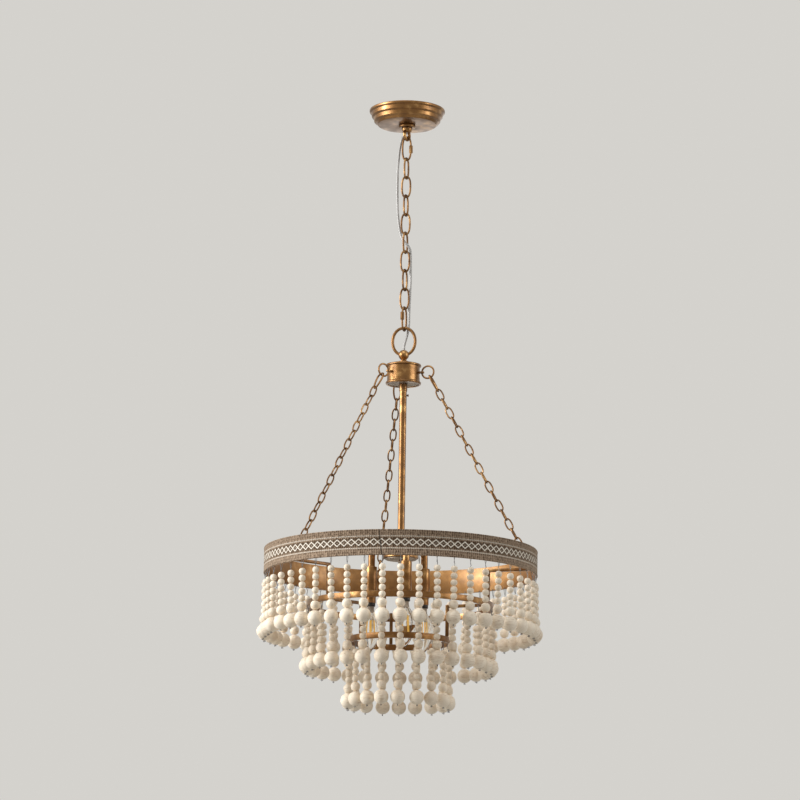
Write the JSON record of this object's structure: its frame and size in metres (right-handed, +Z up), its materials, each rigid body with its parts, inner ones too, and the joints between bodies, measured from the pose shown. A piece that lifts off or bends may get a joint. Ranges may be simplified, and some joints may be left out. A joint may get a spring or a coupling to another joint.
{
  "type": "beaded chandelier",
  "caption": "Chain-hung chandelier with downward candle lamps inside a woven-trimmed metal band and stepped tiers of hanging wooden bead strands.",
  "frame": {"origin": "centre of the canopy's rim, on the ceiling plane that the crossbar is screwed to", "axes": "+Z up through the chain, +X to the right of the picture, and the picture's viewer stands on the -Y side"},
  "size_m": [0.4704, 0.4704, 1.0128],
  "materials": {
    "antique_brass": "rubbed antique",
    "chain_brass": "dark antique",
    "pale_plate": "satin",
    "zinc_steel": "zinc",
    "black_insulator": "matt",
    "clear_flex": "clear sheath",
    "lamp_glass": "clear",
    "wooden_beads": "natural",
    "woven_trim": "woven"
  },
  "bodies": {
    "ceiling": {"ceiling_bracket": "zinc_steel", "threaded_nipple": "zinc_steel", "lock_nut": "zinc_steel", "canopy_cover": "antique_brass", "collar_nut": "antique_brass", "canopy_loop": "antique_brass", "flex_cord": "clear_flex"},
    "quick_link_upper": {"quick_link_upper": "chain_brass", "quick_link_sleeve_upper": "antique_brass"},
    "chain_link_2": {"chain_link_2": "chain_brass"},
    "chain_link_3": {"chain_link_3": "chain_brass"},
    "chain_link_4": {"chain_link_4": "chain_brass"},
    "chain_link_5": {"chain_link_5": "chain_brass"},
    "chain_link_6": {"chain_link_6": "chain_brass"},
    "chain_link_7": {"chain_link_7": "chain_brass"},
    "chain_link_8": {"chain_link_8": "chain_brass"},
    "chain_link_9": {"chain_link_9": "chain_brass"},
    "quick_link_lower": {"quick_link_lower": "chain_brass", "quick_link_sleeve_lower": "antique_brass"},
    "ring": {"top_ring": "antique_brass"},
    "hub": {"ball_clasp": "antique_brass", "hub_cap": "antique_brass", "hub_drum": "antique_brass", "hub_plate": "pale_plate", "centre_rod": "antique_brass", "rod_coupling": "antique_brass", "set_screw": "chain_brass", "cluster_body": "antique_brass", "cluster_cover": "pale_plate", "arm_1": "antique_brass", "socket_cup_1": "antique_brass", "lamp_holder_1": "black_insulator", "lamp_1": "lamp_glass", "arm_2": "antique_brass", "socket_cup_2": "antique_brass", "lamp_holder_2": "black_insulator", "lamp_2": "lamp_glass", "arm_3": "antique_brass", "socket_cup_3": "antique_brass", "lamp_holder_3": "black_insulator", "lamp_3": "lamp_glass"},
    "shade": {"band_hoop_with_strands": "wooden_beads", "woven_trim": "woven_trim", "middle_hoop_with_strands": "wooden_beads", "inner_hoop_with_strands": "wooden_beads", "upper_bracket_1": "chain_brass", "upper_bracket_2": "chain_brass", "upper_bracket_3": "chain_brass", "lower_bracket_1": "chain_brass", "lower_bracket_2": "chain_brass", "lower_bracket_3": "chain_brass"},
    "side_chain_1": {"side_ring_1": "chain_brass", "long_link_1": "chain_brass", "side_chain_1": "chain_brass"},
    "side_chain_2": {"side_ring_2": "chain_brass", "long_link_2": "chain_brass", "side_chain_2": "chain_brass"},
    "side_chain_3": {"side_ring_3": "chain_brass", "long_link_3": "chain_brass", "side_chain_3": "chain_brass"}
  },
  "joints": [
    {"name": "quick_link_upper_swing", "type": "hinge", "parent": "ceiling", "child": "quick_link_upper", "pos_m": [0, 0, -0.051], "axis": [0.4695, 0.8829, 0], "range_deg": [-15, 15], "deforming": ["flex_cord"]},
    {"name": "chain_link_2_swing", "type": "hinge", "parent": "quick_link_upper", "child": "chain_link_2", "pos_m": [0, 0, -0.0866], "axis": [0.9848, -0.1736, 0], "range_deg": [-15, 15], "deforming": ["flex_cord"]},
    {"name": "chain_link_3_swing", "type": "hinge", "parent": "chain_link_2", "child": "chain_link_3", "pos_m": [0, 0, -0.11875], "axis": [0.4695, 0.8829, 0], "range_deg": [-15, 15], "deforming": ["flex_cord"]},
    {"name": "chain_link_4_swing", "type": "hinge", "parent": "chain_link_3", "child": "chain_link_4", "pos_m": [0, 0, -0.1509], "axis": [0.9848, -0.1736, 0], "range_deg": [-15, 15], "deforming": ["flex_cord"]},
    {"name": "chain_link_5_swing", "type": "hinge", "parent": "chain_link_4", "child": "chain_link_5", "pos_m": [0, 0, -0.18305], "axis": [0.4695, 0.8829, 0], "range_deg": [-15, 15], "deforming": ["flex_cord"]},
    {"name": "chain_link_6_swing", "type": "hinge", "parent": "chain_link_5", "child": "chain_link_6", "pos_m": [0, 0, -0.2152], "axis": [0.9848, -0.1736, 0], "range_deg": [-15, 15], "deforming": ["flex_cord"]},
    {"name": "chain_link_7_swing", "type": "hinge", "parent": "chain_link_6", "child": "chain_link_7", "pos_m": [0, 0, -0.24735], "axis": [0.4695, 0.8829, 0], "range_deg": [-15, 15], "deforming": ["flex_cord"]},
    {"name": "chain_link_8_swing", "type": "hinge", "parent": "chain_link_7", "child": "chain_link_8", "pos_m": [0, 0, -0.2795], "axis": [0.9848, -0.1736, 0], "range_deg": [-15, 15], "deforming": ["flex_cord"]},
    {"name": "chain_link_9_swing", "type": "hinge", "parent": "chain_link_8", "child": "chain_link_9", "pos_m": [0, 0, -0.31165], "axis": [0.4695, 0.8829, 0], "range_deg": [-15, 15], "deforming": ["flex_cord"]},
    {"name": "quick_link_lower_swing", "type": "hinge", "parent": "chain_link_9", "child": "quick_link_lower", "pos_m": [0, 0, -0.3438], "axis": [0.9848, -0.1736, 0], "range_deg": [-15, 15], "deforming": ["flex_cord"]},
    {"name": "ring_swing", "type": "hinge", "parent": "quick_link_lower", "child": "ring", "pos_m": [0, 0, -0.3805], "axis": [0.4695, 0.8829, 0], "range_deg": [-15, 15], "deforming": ["flex_cord"]},
    {"name": "hub_swing", "type": "hinge", "parent": "ring", "child": "hub", "pos_m": [0, 0, -0.4221], "axis": [0.9848, -0.1736, 0], "range_deg": [-15, 15], "deforming": ["flex_cord"]},
    {"name": "shade_turn", "type": "hinge", "parent": "hub", "child": "shade", "pos_m": [0, 0, -0.45355], "axis": [0, 0, 1], "range_deg": [-4, 4], "stiffness_Nm_per_rad": 0.6},
    {"name": "side_chain_1_lean", "type": "hinge", "parent": "hub", "child": "side_chain_1", "pos_m": [0.03073, -0.01118, -0.45355], "axis": [0.9397, -0.342, 0], "range_deg": [-2.8, 2.8]},
    {"name": "side_chain_2_lean", "type": "hinge", "parent": "hub", "child": "side_chain_2", "pos_m": [-0.02505, -0.02102, -0.45355], "axis": [-0.766, -0.6428, 0], "range_deg": [-2.8, 2.8]},
    {"name": "side_chain_3_lean", "type": "hinge", "parent": "hub", "child": "side_chain_3", "pos_m": [-0.00568, 0.0322, -0.45355], "axis": [-0.1736, 0.9848, 0], "range_deg": [-2.8, 2.8]}
  ],
  "couplings": [
    {"joint": "side_chain_1_lean", "follows": "shade_turn", "ratio": 0.6854},
    {"joint": "side_chain_2_lean", "follows": "shade_turn", "ratio": 0.6854},
    {"joint": "side_chain_3_lean", "follows": "shade_turn", "ratio": 0.6854}
  ]
}
